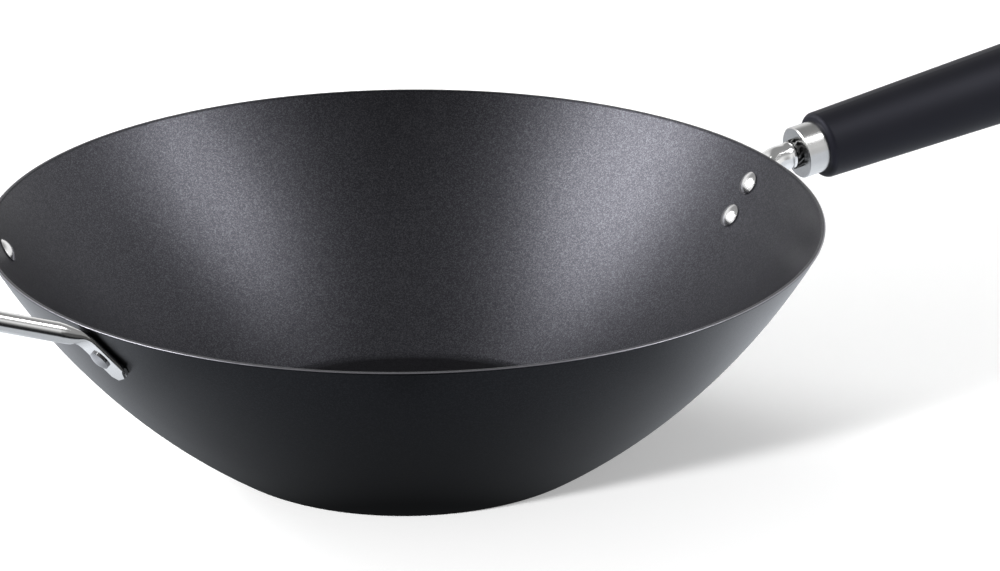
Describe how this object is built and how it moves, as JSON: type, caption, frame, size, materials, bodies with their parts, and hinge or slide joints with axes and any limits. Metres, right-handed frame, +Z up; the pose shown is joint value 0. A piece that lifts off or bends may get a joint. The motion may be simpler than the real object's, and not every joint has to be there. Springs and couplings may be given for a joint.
{
  "type": "wok",
  "caption": "Flat-based carbon steel wok with a long moulded grip on a polished steel neck and a riveted tube helper handle opposite it.",
  "frame": {"origin": "centre of the base, on the surface the wok stands on", "axes": "+Z up through the bowl's axis, +X along the long handle, helper handle towards -X"},
  "size_m": [0.5865, 0.3494, 0.1364],
  "materials": {
    "coated_steel": "satin with a fine speckle",
    "polished_steel": "polished",
    "rivet_steel": "polished",
    "plain_steel": "as turned",
    "black_grip": "satin",
    "brass_insert": "as turned"
  },
  "bodies": {
    "root": {"bowl": "coated_steel", "handle_neck": "polished_steel", "upper_handle_rivet": "rivet_steel", "lower_handle_rivet": "rivet_steel", "neck_stud": "plain_steel", "lock_washer": "plain_steel", "ferrule": "polished_steel", "grip": "black_grip", "grip_insert": "brass_insert", "helper_handle": "polished_steel", "right_helper_rivet": "rivet_steel", "left_helper_rivet": "rivet_steel"}
  },
  "joints": []
}
